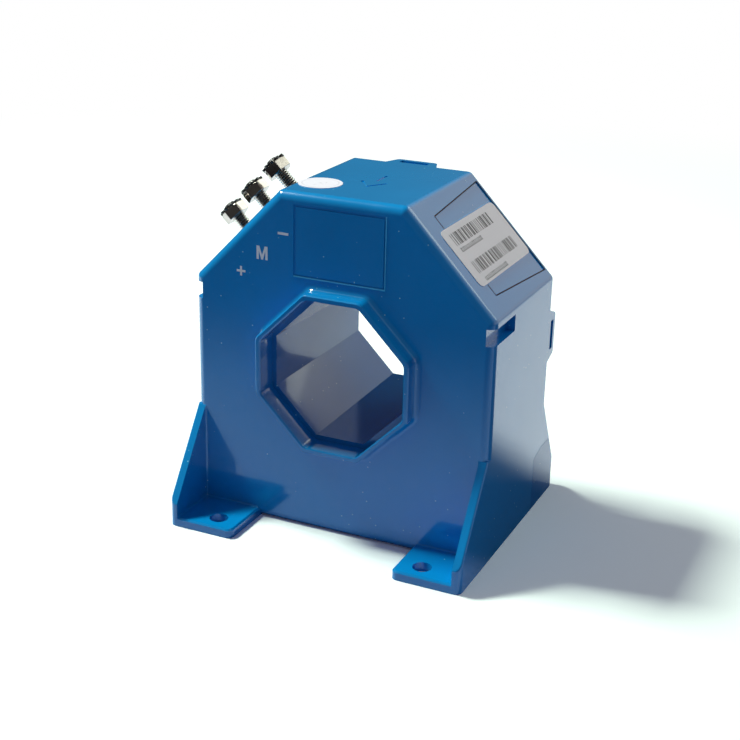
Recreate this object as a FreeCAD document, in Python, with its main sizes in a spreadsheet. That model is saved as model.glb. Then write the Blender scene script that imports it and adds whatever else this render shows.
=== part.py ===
"""Current transducer: a moulded case on four feet, with an octagonal bore for a busbar.

Lengths are millimetres. Each piece is drawn with y = 0 at the case's front face and z = 0 at the
base, then moved so that the row's origin is at the centre of the four mounting holes, on the base.
"""
import FreeCAD
import Part
import Sketcher
import math
import os

Vector = FreeCAD.Vector
Rotation = FreeCAD.Rotation
Placement = FreeCAD.Placement

document = FreeCAD.newDocument("CurrentTransducer")
sheet = document.addObject("Spreadsheet::Sheet", "Sizes")
pieces = {}


class Formula:
    """A length that knows both its number and the sheet formula that gives it."""

    def __init__(self, number, text):
        self.number = float(number)
        self.text = text

    def joined(self, sign, other, number):
        return Formula(number, "(%s %s %s)" % (self.text, sign, other.text))

    def __add__(self, other):
        other = formula(other)
        return self.joined("+", other, self.number + other.number)

    def __radd__(self, other):
        return formula(other) + self

    def __sub__(self, other):
        other = formula(other)
        return self.joined("-", other, self.number - other.number)

    def __rsub__(self, other):
        return formula(other) - self

    def __mul__(self, other):
        other = formula(other)
        return self.joined("*", other, self.number * other.number)

    def __rmul__(self, other):
        return formula(other) * self

    def __truediv__(self, other):
        other = formula(other)
        return self.joined("/", other, self.number / other.number)

    def __neg__(self):
        return self * -1


def formula(value):
    if isinstance(value, Formula):
        return value
    return Formula(value, "(%r)" % float(value))


def root(value):
    return Formula(math.sqrt(value.number), "sqrt(%s)" % value.text)


def size(name, value):
    """Put one driving size in the sheet and return its formula."""
    row = size.count = getattr(size, "count", 0) + 1
    sheet.set("A%d" % row, name)
    sheet.set("B%d" % row, str(value))
    sheet.setAlias("B%d" % row, name)
    return Formula(value, "Sizes." + name)


# Case
case_width = size("case_width", 92.0)
case_height = size("case_height", 100.5)
case_depth = size("case_depth", 48.0)
slope_width = size("slope_width", 27.0)
slope_height = size("slope_height", 28.0)
wall = size("wall", 3.0)
front_wall = size("front_wall", 2.2)
front_round = size("front_round", 2.5)
long_edge_round = size("long_edge_round", 2.0)

# Bore, its rim on both faces and the sleeve that lines it, measured from the centre to a flat
bore_rise = size("bore_rise", -0.35)
flat_share = size("flat_share", 0.365)
sleeve_front = size("sleeve_front", 20.6)
sleeve_rear = size("sleeve_rear", 19.7)
sleeve_wall = size("sleeve_wall", 2.4)
collar_step = size("collar_step", 1.5)
rim_wall = size("rim_wall", 1.6)
rim_height = size("rim_height", 4.9)
rim_foot_round = size("rim_foot_round", 1.5)
rim_corner_round = size("rim_corner_round", 2.5)
rim_lip_bevel = size("rim_lip_bevel", 0.35)

# Feet, their gussets and the mounting holes
foot_width = size("foot_width", 20.7)
foot_thickness = size("foot_thickness", 2.8)
front_foot_reach = size("front_foot_reach", 17.2)
rear_foot_reach = size("rear_foot_reach", 14.0)
foot_corner_round = size("foot_corner_round", 2.0)
foot_edge_bevel = size("foot_edge_bevel", 0.5)
gusset_thickness = size("gusset_thickness", 2.6)
gusset_edge_round = size("gusset_edge_round", 0.7)
foot_root_round = size("foot_root_round", 0.5)
gusset_height = size("gusset_height", 32.5)
gusset_nose = size("gusset_nose", 7.0)
hole_radius = size("hole_radius", 2.75)
hole_from_end = size("hole_from_end", 5.6)
hole_spacing = size("hole_spacing", 65.0)

# Rear cover and the places where case and cover meet
fit_gap = size("fit_gap", 0.15)
cover_reach = size("cover_reach", 4.0)
cover_plate = size("cover_plate", 2.5)
cover_skirt = size("cover_skirt", 1.6)
skirt_depth = size("skirt_depth", 5.5)
rear_rim_height = size("rear_rim_height", 4.0)
cover_edge_round = size("cover_edge_round", 0.8)
seam_height = size("seam_height", 18.5)
seam_front = size("seam_front", 6.6)
seam_drop = size("seam_drop", 1.7)
foot_root_height = size("foot_root_height", 5.0)
foot_root_width = size("foot_root_width", 4.0)

# Snap tabs on the case and hooks on the cover
tab_base = size("tab_base", 16.4)
tab_end = size("tab_end", 12.4)
tab_reach = size("tab_reach", 5.3)
tab_thickness = size("tab_thickness", 2.2)
window_width = size("window_width", 9.0)
window_start = size("window_start", 1.3)
window_length = size("window_length", 2.4)
tab_corner_round = size("tab_corner_round", 1.4)
hook_depth = size("hook_depth", 1.2)
side_tab_rise = size("side_tab_rise", 4.1)

# Slots in the sides near the front, sunk panel on the right slope, marks on the front and top
slot_drop = size("slot_drop", 1.9)
slot_height = size("slot_height", 4.8)
slot_length = size("slot_length", 16.0)
slot_depth = size("slot_depth", 2.5)
panel_front = size("panel_front", 10.8)
panel_lip = size("panel_lip", 0.9)
panel_front_width = size("panel_front_width", 27.0)
panel_back_width = size("panel_back_width", 32.5)
panel_front_depth = size("panel_front_depth", 0.12)
panel_back_depth = size("panel_back_depth", 0.3)
frame_width = size("frame_width", 28.0)
frame_drop = size("frame_drop", 3.2)
frame_height = size("frame_height", 20.6)
mark_width = size("mark_width", 0.7)
mark_depth = size("mark_depth", 0.25)
arrow_tip = size("arrow_tip", 15.7)
arrow_half_width = size("arrow_half_width", 4.2)
arrow_head = size("arrow_head", 6.3)
arrow_gap = size("arrow_gap", 8.0)
arrow_shaft = size("arrow_shaft", 7.1)

# Terminals on the left slope
stud_radius = size("stud_radius", 2.0)
stud_spacing = size("stud_spacing", 10.35)
stud_length = size("stud_length", 12.3)
stud_tip = size("stud_tip", 0.5)
stud_head_radius = size("stud_head_radius", 3.5)
stud_head = size("stud_head", 2.4)
nut_width = size("nut_width", 7.0)
nut_height = size("nut_height", 3.2)
nut_end = size("nut_end", 10.9)
thread_gap = size("thread_gap", 0.03)
flat_washer_radius = size("flat_washer_radius", 4.5)
flat_washer_thickness = size("flat_washer_thickness", 0.8)
lock_washer_radius = size("lock_washer_radius", 3.9)
lock_washer_root = size("lock_washer_root", 3.1)
lock_washer_thickness = size("lock_washer_thickness", 0.7)
lock_tooth_width = size("lock_tooth_width", 1.1)
strap_thickness = size("strap_thickness", 0.8)
strap_width = size("strap_width", 7.0)

# Core, coils and sensor
core_gap = size("core_gap", 4.5)
core_width = size("core_width", 7.0)
core_to_back = size("core_to_back", 34.0)
core_depth = size("core_depth", 20.0)
core_slit = size("core_slit", 3.2)
former_end_gap = size("former_end_gap", 0.2)
former_wall = size("former_wall", 1.0)
former_flange = size("former_flange", 1.2)
winding_depth = size("winding_depth", 2.6)
chip_thickness = size("chip_thickness", 1.5)
chip_width = size("chip_width", 4.5)
chip_height = size("chip_height", 3.6)
lead_thickness = size("lead_thickness", 0.4)
lead_pitch = size("lead_pitch", 0.9)

# Board, its posts, screws and electronic pieces
board_to_back = size("board_to_back", 8.0)
board_thickness = size("board_thickness", 1.6)
board_edge_gap = size("board_edge_gap", 0.5)
board_drop = size("board_drop", 29.0)
board_bore_gap = size("board_bore_gap", 0.6)
post_radius = size("post_radius", 3.0)
top_post_x = size("top_post_x", 12.0)
low_post_inset = size("low_post_inset", 7.5)
low_post_drop = size("low_post_drop", 24.0)
screw_radius = size("screw_radius", 1.2)
screw_head_radius = size("screw_head_radius", 2.6)
screw_head = size("screw_head", 1.8)
screw_length = size("screw_length", 7.0)
component_gap = size("component_gap", 0.2)
amplifier_rise = size("amplifier_rise", 8.0)
amplifier_width = size("amplifier_width", 10.0)
amplifier_height = size("amplifier_height", 6.4)
amplifier_depth = size("amplifier_depth", 2.2)
transistor_inset = size("transistor_inset", 12.5)
transistor_drop = size("transistor_drop", 1.0)
transistor_width = size("transistor_width", 10.2)
transistor_height = size("transistor_height", 15.0)
transistor_depth = size("transistor_depth", 4.5)
resistor_rise = size("resistor_rise", 15.0)
resistor_width = size("resistor_width", 3.2)
resistor_height = size("resistor_height", 6.4)
resistor_depth = size("resistor_depth", 1.2)
capacitor_x = size("capacitor_x", 20.5)
capacitor_drop = size("capacitor_drop", 19.5)
capacitor_radius = size("capacitor_radius", 3.0)
capacitor_length = size("capacitor_length", 10.0)

# Paper labels
label_gap = size("label_gap", 0.4)
label_width = size("label_width", 18.6)
label_front = size("label_front", 6.7)
label_shift = size("label_shift", 0.3)
label_round = size("label_round", 2.0)
paper = size("paper", 0.12)
sticker_radius = size("sticker_radius", 6.3)
sticker_x = size("sticker_x", -12.6)
sticker_depth = size("sticker_depth", 13.4)

# Places worked out from the driving sizes
half_width = case_width / 2
half_top = half_width - slope_width
slope_foot = case_height - slope_height
slope_length = root(slope_width * slope_width + slope_height * slope_height)
bore_height = case_height / 2 + bore_rise
collar = sleeve_front + collar_step
rim_outside = collar + rim_wall
sleeve_outside = sleeve_front + sleeve_wall
cover_face = case_depth + cover_reach
cover_inset = wall + fit_gap
pattern_centre = (case_depth + rear_foot_reach - front_foot_reach) / 2
stud_depth = case_depth / 2
side_tab_height = bore_height + side_tab_rise
slot_high = slope_foot - slot_drop
slot_low = slot_high - slot_height
frame_high = case_height - frame_drop
frame_low = frame_high - frame_height
panel_back = case_depth - panel_lip
label_length = panel_back - label_front - label_gap
core_inside = sleeve_outside + core_gap
core_outside = core_inside + core_width
former_length = (core_inside * flat_share - former_end_gap) * 2
core_front = case_depth - core_to_back
core_middle = core_front + core_depth / 2
board_front = case_depth - board_to_back
board_back = board_front + board_thickness
board_low = bore_height - board_drop
top_post_height = (bore_height + core_outside + case_height - wall) / 2
low_post_x = half_width - low_post_inset
low_post_height = bore_height - low_post_drop
amplifier_place = bore_height + sleeve_outside + amplifier_rise
transistor_x = half_width - transistor_inset
transistor_z = bore_height - transistor_drop
resistor_z = bore_height + resistor_rise
capacitor_z = case_height - capacitor_drop
row_shift = Placement(Vector(0, -pattern_centre.number, 0), Rotation())


def bind(item, name, value):
    item.setExpression(name, formula(value).text)


def volume(body):
    return 0.0 if body.Shape.isNull() else body.Shape.Volume


def new_body(name):
    """A sub-part: its label is the node's name."""
    body = document.addObject("PartDesign::Body", name)
    body.Label = name
    pieces[name] = body
    return body


def new_sketch(body, name, plane, away=0.0):
    """An empty sketch on an origin plane, moved along that plane's normal."""
    support = next(item for item in body.Origin.OriginFeatures if item.Role == plane)
    drawing = body.newObject("Sketcher::SketchObject", name)
    drawing.AttachmentSupport = [(support, "")]
    drawing.MapMode = "FlatFace"
    bind(drawing, "AttachmentOffset.Base.z", away)
    return drawing


def section(body, name, depth):
    """A sketch across the case, seen from the front, at the given depth behind the front face."""
    return new_sketch(body, name, "XZ_Plane", -formula(depth))


def fix(drawing, kind, line, point, value):
    index = drawing.addConstraint(Sketcher.Constraint(kind, line, point, value.number))
    bind(drawing, "Constraints[%d]" % index, value)


def draw_polygon(drawing, corners):
    """A closed outline whose corners are fixed by formulas."""
    corners = [(formula(across), formula(up)) for across, up in corners]
    first = drawing.GeometryCount
    count = len(corners)
    points = [Vector(across.number, up.number, 0) for across, up in corners]
    for step in range(count):
        drawing.addGeometry(Part.LineSegment(points[step], points[(step + 1) % count]), False)
    for step in range(count):
        join = Sketcher.Constraint("Coincident", first + step, 2, first + (step + 1) % count, 1)
        drawing.addConstraint(join)
    for step, (across, up) in enumerate(corners):
        fix(drawing, "DistanceX", first + step, 1, across)
        fix(drawing, "DistanceY", first + step, 1, up)


def draw_box(drawing, left, low, right, high):
    draw_polygon(drawing, [(left, low), (right, low), (right, high), (left, high)])


def draw_circle(drawing, across, up, radius):
    across = formula(across)
    up = formula(up)
    radius = formula(radius)
    middle = Vector(across.number, up.number, 0)
    line = drawing.addGeometry(Part.Circle(middle, Vector(0, 0, 1), radius.number), False)
    fix(drawing, "DistanceX", line, 3, across)
    fix(drawing, "DistanceY", line, 3, up)
    index = drawing.addConstraint(Sketcher.Constraint("Radius", line, radius.number))
    bind(drawing, "Constraints[%d]" % index, radius)


def octagon(half, height=bore_height):
    """Corners of the octagon round the bore, half its width across the upright flats.

    The level and upright flats are a little shorter than the four slanted ones.
    """
    half = formula(half)
    short = half * flat_share
    turns = [(half, short), (short, half), (-short, half), (-half, short),
             (-half, -short), (-short, -half), (short, -half), (half, -short)]
    return [(across, height + up) for across, up in turns]


def case_outline(inset=0.0):
    """The case's outline from the front, moved in by an even amount."""
    inset = formula(inset)
    side = half_width - inset
    high = case_height - inset
    top = half_top - inset * (slope_length - slope_width) / slope_height
    low = slope_foot - inset * (slope_length - slope_height) / slope_width
    return [(-side, inset), (side, inset), (side, low), (top, high), (-top, high), (-side, low)]


def add(body, kind, name, drawing, length, flip=False):
    """Add or cut the sketch's shape; a feature that changes nothing stops the build."""
    before = volume(body)
    feature = body.newObject("PartDesign::" + kind, name)
    feature.Profile = drawing
    feature.Reversed = flip
    bind(feature, "Length", length)
    document.recompute()
    check_change(body, name, before, kind == "Pad")
    return feature


def check_change(body, name, before, grows):
    change = volume(body) - before
    if change == 0 or (change > 0) != grows:
        raise RuntimeError("%s of %s changes the volume by %.3f" % (name, body.Label, change))


def pad_back(body, name, drawing, length):
    return add(body, "Pad", name, drawing, length, True)


def pocket_back(body, name, drawing, length):
    return add(body, "Pocket", name, drawing, length)


def dress_edges(body, kind, name, measure, amount, chosen):
    """Round or bevel the edges of the body's last shape that the test picks."""
    base = body.Tip
    names = ["Edge%d" % (step + 1) for step, edge in enumerate(base.Shape.Edges) if chosen(edge)]
    if not names:
        raise RuntimeError("%s of %s finds no edge" % (name, body.Label))
    feature = body.newObject("PartDesign::" + kind, name)
    feature.Base = (base, names)
    bind(feature, measure, amount)
    document.recompute()


def round_edges(body, name, radius, chosen):
    dress_edges(body, "Fillet", name, "Radius", radius, chosen)


def bevel_edges(body, name, width, chosen):
    dress_edges(body, "Chamfer", name, "Size", width, chosen)


def ends(edge):
    return [vertex.Point for vertex in edge.Vertexes]


def near(first, second):
    return abs(first - formula(second).number) < 0.001


def lies_at_depth(edge, depth):
    return all(near(point.y, depth) for point in ends(edge))


def runs_back(edge):
    """True for a straight edge along the case's depth."""
    points = ends(edge)
    return len(points) == 2 and near(points[0].x, points[1].x) and near(points[0].z, points[1].z)


def from_bore(point):
    """How far out a point is from the bore's centre, measured to the nearest octagon flat."""
    across = abs(point.x)
    up = abs(point.z - bore_height.number)
    return max(across, up, (across + up) / (1 + flat_share.number))


def on_octagon(edge, half):
    return all(near(from_bore(point), half) for point in ends(edge))


def right_slope(along, out):
    """A place on the right slope: along it from its top, and out from it."""
    across = half_top + (along * slope_width + out * slope_height) / slope_length
    up = case_height + (out * slope_width - along * slope_height) / slope_length
    return (across, up)


def right_slope_place(along, depth, out):
    """Placement on the right slope: z points out of it, y to the back, x down the slope."""
    across, up = right_slope(along, out)
    turn = math.degrees(math.atan2(slope_height.number, slope_width.number))
    return Placement(Vector(across.number, formula(depth).number, up.number),
                     Rotation(Vector(0, 1, 0), turn))


def left_slope_place(along, depth, out):
    """Placement on the left slope: z points out of it, y to the back, x up the slope."""
    across, up = right_slope(along, out)
    turn = math.degrees(math.atan2(slope_height.number, slope_width.number))
    return Placement(Vector(-across.number, formula(depth).number, up.number),
                     Rotation(Vector(0, 1, 0), -turn))


def stud_places():
    """Distances down the left slope of the three studs."""
    middle = slope_length / 2
    return [middle - stud_spacing, middle, middle + stud_spacing]


def turned(name, profile):
    """A round piece from its half profile, given as radius and height, about its own z axis."""
    body = new_body(name)
    drawing = new_sketch(body, name + "_profile", "XZ_Plane")
    draw_polygon(drawing, profile)
    feature = body.newObject("PartDesign::Revolution", name + "_turned")
    feature.Profile = drawing
    feature.ReferenceAxis = (drawing, ["V_Axis"])
    feature.Angle = 360.0
    document.recompute()
    return body


def place(body, placement):
    body.Placement = row_shift.multiply(placement)


def gusset_profile(front, reach, low=0.0):
    """Side view of a gusset that leans back from its foot's end; front is where it starts."""
    return [(front, low), (front + reach, low), (front + reach, gusset_nose), (front, gusset_height)]


def make_case_shell(body):
    drawing = section(body, "case_outline", 0.0)
    draw_polygon(drawing, case_outline())
    pad_back(body, "case_block", drawing, case_depth)
    round_edges(body, "long_edges", long_edge_round,
                lambda edge: runs_back(edge) and ends(edge)[0].z > 1.0)
    round_edges(body, "front_edges", front_round, lambda edge: lies_at_depth(edge, 0.0))
    drawing = section(body, "cavity_outline", case_depth)
    draw_polygon(drawing, case_outline(wall))
    add(body, "Pocket", "cavity", drawing, case_depth - front_wall, True)


def make_front_rim(body):
    drawing = section(body, "rim_outline", front_wall / 2)
    draw_polygon(drawing, octagon(rim_outside))
    add(body, "Pad", "rim", drawing, rim_height + front_wall / 2)
    drawing = section(body, "collar_outline", -rim_height)
    draw_polygon(drawing, octagon(collar))
    pocket_back(body, "collar", drawing, rim_height + front_wall)
    finish_rim(body, "front", 0.0, -rim_height, collar)


def finish_rim(body, name, foot, lip, inside):
    """Round the corners, the lip and the foot of a rim."""
    half_sizes = [formula(inside).number, rim_outside.number]

    def is_corner(edge):
        spans = sorted(point.y for point in ends(edge))
        at_lip = any(near(depth, lip) for depth in spans)
        return runs_back(edge) and at_lip and any(on_octagon(edge, half) for half in half_sizes)

    def is_lip(edge):
        return lies_at_depth(edge, lip) and from_bore(ends(edge)[0]) < rim_outside.number + 0.01

    def is_foot(edge):
        points = ends(edge)
        return lies_at_depth(edge, foot) and all(
            rim_outside.number - 0.6 < from_bore(point) < rim_outside.number + 0.01
            for point in points)

    round_edges(body, name + "_rim_corners", rim_corner_round, is_corner)
    bevel_edges(body, name + "_rim_lip", rim_lip_bevel, is_lip)
    round_edges(body, name + "_rim_foot", rim_foot_round, is_foot)


def make_front_foot(body, side, name):
    """One front foot: a gusset in line with the side wall, and a flat tab with its hole."""
    outside = half_width * side
    inside = (half_width - foot_width) * side
    drawing = new_sketch(body, name + "_gusset_outline", "YZ_Plane", outside)
    outline = [(-across, up) for across, up in gusset_profile(formula(0.0), front_foot_reach)]
    overlap = front_round + 0.5
    outline = [(overlap, 0.0)] + outline[1:3] + [(0.0, gusset_height), (overlap, gusset_height)]
    draw_polygon(drawing, outline)
    add(body, "Pad", name + "_gusset", drawing, gusset_thickness, side > 0)
    drawing = new_sketch(body, name + "_tab_outline", "XY_Plane")
    draw_box(drawing, inside, -front_foot_reach, outside, front_wall)
    add(body, "Pad", name + "_tab", drawing, foot_thickness)
    drawing = new_sketch(body, name + "_hole_outline", "XY_Plane")
    draw_circle(drawing, hole_spacing / 2 * side, hole_from_end - front_foot_reach, hole_radius)
    add(body, "Pocket", name + "_hole", drawing, foot_thickness, True)
    finish_foot(body, name, side, -front_foot_reach)
    round_gusset(body, name, side)


def finish_foot(body, name, side, end):
    """Round the foot's upright corners and then its top edges."""
    outside = half_width.number * side
    inside = (half_width - foot_width).number * side

    def is_corner(edge):
        points = ends(edge)
        upright = len(points) == 2 and near(points[0].x, points[1].x)
        low = min(point.z for point in points)
        at_end = lies_at_depth(edge, end)
        return upright and at_end and near(low, 0.0) and (
            near(points[0].x, outside) or near(points[0].x, inside))

    def is_top(edge):
        top = all(near(point.z, foot_thickness) for point in ends(edge))
        return top and lies_at_depth(edge, end) and edge.BoundBox.XLength > foot_width.number / 2 \
            and ends(edge)[0].x * side > 0

    round_edges(body, name + "_corners", foot_corner_round, is_corner)
    bevel_edges(body, name + "_top_edge", foot_edge_bevel, is_top)


def round_gusset(body, name, side):
    """Round a front gusset's leaning edge and the inner corners where it meets foot and case."""
    outside = half_width.number * side
    inner = (half_width - gusset_thickness).number * side

    def is_leaning(edge):
        points = sorted(ends(edge), key=lambda point: point.z)
        return len(points) == 2 and all(near(point.x, outside) for point in points) \
            and near(points[1].y, 0.0) and near(points[1].z, gusset_height) \
            and points[0].y < -1.0

    def is_root(edge):
        points = ends(edge)
        if len(points) != 2 or edge.Length < gusset_nose.number:
            return False
        on_gusset = all(near(point.x, inner) for point in points)
        on_case = all(near(point.y, 0.0) for point in points)
        on_foot = all(near(point.z, foot_thickness) for point in points)
        beside = all(point.x * side > 0 for point in points)
        return beside and on_gusset + on_case + on_foot == 2

    round_edges(body, name + "_gusset_edge", gusset_edge_round, is_leaning)
    round_edges(body, name + "_roots", foot_root_round, is_root)


def seam_profile(gap):
    """Side view of the corner that the rear foot fills; gap moves the seam into the foot."""
    front = case_depth - seam_front + gap
    high = seam_height - gap
    return [(front, high - seam_drop), (case_depth, high)]


def slope_depth(height):
    """Depth of a rear gusset's leaning edge at a height."""
    share = (gusset_height - height) / (gusset_height - gusset_nose)
    return case_depth + rear_foot_reach * share


def make_rear_corner(body, side, name):
    """Cut the corner for the rear foot and add the fin that carries the gusset's line on."""
    drawing = new_sketch(body, name + "_notch_outline", "YZ_Plane", half_width * side)
    front, back = seam_profile(0.0)
    draw_polygon(drawing, [(front[0], -1.0), (case_depth + 1.0, -1.0),
                           (case_depth + 1.0, seam_height), back, front])
    add(body, "Pocket", name + "_notch", drawing, wall, side < 0)
    drawing = new_sketch(body, name + "_fin_outline", "YZ_Plane", half_width * side)
    draw_polygon(drawing, [(case_depth - 2.0, seam_height + 0.5), (case_depth, seam_height),
                           (slope_depth(seam_height), seam_height), (case_depth, gusset_height),
                           (case_depth - 2.0, gusset_height)])
    add(body, "Pad", name + "_fin", drawing, gusset_thickness, side > 0)


def tab_outline(middle):
    """Plan of a snap tab, as across and depth."""
    return [(middle - tab_base / 2, case_depth), (middle - tab_end / 2, case_depth + tab_reach),
            (middle + tab_end / 2, case_depth + tab_reach), (middle + tab_base / 2, case_depth),
            (middle + tab_base / 2, case_depth - 1.0), (middle - tab_base / 2, case_depth - 1.0)]


def window_box(middle):
    start = case_depth + window_start
    return (middle - window_width / 2, start, middle + window_width / 2, start + window_length)


def make_snap_tabs(body):
    """A tab with a window at the middle of the top and of each side."""
    drawing = new_sketch(body, "top_tab_outline", "XY_Plane", case_height)
    draw_polygon(drawing, tab_outline(formula(0.0)))
    add(body, "Pad", "top_tab", drawing, tab_thickness, True)
    drawing = new_sketch(body, "top_window_outline", "XY_Plane", case_height)
    draw_box(drawing, *window_box(formula(0.0)))
    add(body, "Pocket", "top_window", drawing, tab_thickness)
    for side, name in ((-1, "left"), (1, "right")):
        drawing = new_sketch(body, name + "_tab_outline", "YZ_Plane", half_width * side)
        draw_polygon(drawing, [(depth, up) for up, depth in tab_outline(side_tab_height)])
        add(body, "Pad", name + "_tab_plate", drawing, tab_thickness, side > 0)
        drawing = new_sketch(body, name + "_window_outline", "YZ_Plane", half_width * side)
        low, start, high, end = window_box(side_tab_height)
        draw_box(drawing, start, low, end, high)
        add(body, "Pocket", name + "_window", drawing, tab_thickness, side < 0)
    round_edges(body, "tab_corners", tab_corner_round,
                lambda edge: lies_at_depth(edge, case_depth + tab_reach)
                and near(edge.Length, tab_thickness))


def make_side_slots(body):
    for side, name in ((-1, "left"), (1, "right")):
        drawing = new_sketch(body, name + "_slot_outline", "YZ_Plane", half_width * side)
        draw_box(drawing, -1.0, slot_low, slot_length, slot_high)
        add(body, "Pocket", name + "_slot", drawing, slot_depth, side < 0)


def make_sunk_panel(body):
    """A panel on the right slope that widens and deepens towards the back."""
    before = volume(body)
    panel = body.newObject("PartDesign::SubtractiveWedge", "sunk_panel")
    panel.Placement = right_slope_place(slope_length / 2, 0.0, formula(0.0))
    for name, value in (("Ymin", panel_front), ("Ymax", panel_back),
                        ("Xmin", -panel_front_width / 2), ("Xmax", panel_front_width / 2),
                        ("X2min", -panel_back_width / 2), ("X2max", panel_back_width / 2),
                        ("Zmin", -panel_front_depth), ("Zmax", formula(1.0)),
                        ("Z2min", -panel_back_depth), ("Z2max", formula(1.0))):
        bind(panel, name, value)
    document.recompute()
    check_change(body, "sunk_panel", before, False)


def make_marks(body):
    """A thin frame on the front and an arrow on top that shows the current's direction."""
    drawing = section(body, "frame_outline", 0.0)
    half = frame_width / 2
    draw_box(drawing, -half, frame_low, half, frame_high)
    draw_box(drawing, -half + mark_width, frame_low + mark_width,
             half - mark_width, frame_high - mark_width)
    pocket_back(body, "frame_groove", drawing, mark_depth)
    drawing = new_sketch(body, "arrow_outline", "XY_Plane", case_height)
    back = arrow_tip + arrow_head
    draw_polygon(drawing, [(0.0, arrow_tip), (arrow_half_width, back),
                           (arrow_half_width - mark_width, back + mark_width / 2),
                           (0.0, arrow_tip + mark_width * 2),
                           (mark_width - arrow_half_width, back + mark_width / 2),
                           (-arrow_half_width, back)])
    shaft = arrow_tip + arrow_gap
    draw_box(drawing, -mark_width / 2, shaft, mark_width / 2, shaft + arrow_shaft)
    add(body, "Pocket", "arrow", drawing, mark_depth)


def post_places():
    return [(-top_post_x, top_post_height), (top_post_x, top_post_height),
            (-low_post_x, low_post_height), (low_post_x, low_post_height)]


def make_posts(body):
    """Four posts on the front wall carry the board; each has a blind hole for its screw."""
    drawing = section(body, "post_outlines", front_wall - 0.5)
    for across, up in post_places():
        draw_circle(drawing, across, up, post_radius)
    pad_back(body, "posts", drawing, board_front - front_wall + 0.5)
    drawing = section(body, "post_hole_outlines", board_front)
    for across, up in post_places():
        draw_circle(drawing, across, up, screw_radius + thread_gap)
    add(body, "Pocket", "post_holes", drawing, screw_length + 0.5, True)


def make_stud_holes(body):
    for number, along in enumerate(stud_places(), 1):
        before = volume(body)
        hole = body.newObject("PartDesign::SubtractiveCylinder", "stud_hole_%d" % number)
        bind(hole, "Radius", stud_radius + thread_gap)
        bind(hole, "Height", wall + 2.0)
        hole.Placement = left_slope_place(along, stud_depth, -wall - 1.0)
        document.recompute()
        check_change(body, "stud_hole_%d" % number, before, False)


def make_housing():
    body = new_body("housing")
    make_case_shell(body)
    make_front_rim(body)
    for side, name in ((-1, "left"), (1, "right")):
        make_front_foot(body, side, "front_%s_foot" % name)
        make_rear_corner(body, side, "rear_%s_corner" % name)
    make_snap_tabs(body)
    make_side_slots(body)
    make_sunk_panel(body)
    make_marks(body)
    make_posts(body)
    make_stud_holes(body)
    place(body, Placement())


def make_cover_plate(body):
    drawing = section(body, "plate_outline", cover_face - cover_plate)
    draw_polygon(drawing, case_outline(cover_inset))
    pad_back(body, "plate", drawing, cover_plate)
    round_edges(body, "plate_edges", cover_edge_round,
                lambda edge: lies_at_depth(edge, cover_face))
    drawing = section(body, "skirt_outline", cover_face - cover_plate - skirt_depth)
    draw_polygon(drawing, case_outline(cover_inset))
    draw_polygon(drawing, case_outline(cover_inset + cover_skirt))
    pad_back(body, "skirt", drawing, skirt_depth)


def make_sleeve(body):
    """The sleeve reaches the inside of the front wall; the bore narrows towards the back."""
    drawing = section(body, "sleeve_outline", front_wall)
    draw_polygon(drawing, octagon(sleeve_outside))
    pad_back(body, "sleeve", drawing, cover_face - cover_plate / 2 - front_wall)
    drawing = section(body, "rear_rim_outline", cover_face - cover_plate / 2)
    draw_polygon(drawing, octagon(rim_outside))
    pad_back(body, "rear_rim", drawing, cover_plate / 2 + rear_rim_height)
    drawing = section(body, "bore_outline", front_wall)
    draw_polygon(drawing, octagon(sleeve_front))
    length = cover_face + rear_rim_height - front_wall
    bore = pocket_back(body, "bore", drawing, length)
    narrowing = (sleeve_front - sleeve_rear) / length
    bore.setExpression("TaperAngle", "-atan(%s)" % narrowing.text)
    document.recompute()
    finish_rim(body, "rear", cover_face, cover_face + rear_rim_height, sleeve_rear)


def make_rear_foot(body, side, name):
    """One rear foot: its side plate fills the notch in the case."""
    outside = half_width * side
    inside = (half_width - foot_width) * side
    end = case_depth + rear_foot_reach
    front, back = seam_profile(fit_gap)
    high = seam_height - fit_gap
    drawing = new_sketch(body, name + "_side_outline", "YZ_Plane", outside)
    draw_polygon(drawing, [(front[0], 0.0), (end, 0.0), (end, gusset_nose),
                           (slope_depth(high), high), back, front])
    add(body, "Pad", name + "_side", drawing, gusset_thickness, side > 0)
    drawing = new_sketch(body, name + "_root_outline", "YZ_Plane", outside)
    draw_box(drawing, cover_face - cover_plate, 0.0, cover_face, high)
    add(body, "Pad", name + "_root", drawing, foot_root_width, side > 0)
    drawing = new_sketch(body, name + "_step_outline", "YZ_Plane", inside)
    draw_box(drawing, cover_face - cover_plate, 0.0, cover_face, foot_root_height)
    add(body, "Pad", name + "_step", drawing, foot_width - foot_root_width, side < 0)
    drawing = new_sketch(body, name + "_tab_outline", "XY_Plane")
    draw_box(drawing, inside, cover_face - cover_plate, outside, end)
    add(body, "Pad", name + "_tab", drawing, foot_thickness)
    drawing = new_sketch(body, name + "_hole_outline", "XY_Plane")
    draw_circle(drawing, hole_spacing / 2 * side, end - hole_from_end, hole_radius)
    add(body, "Pocket", name + "_hole", drawing, foot_thickness, True)
    finish_foot(body, name, side, end)


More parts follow.
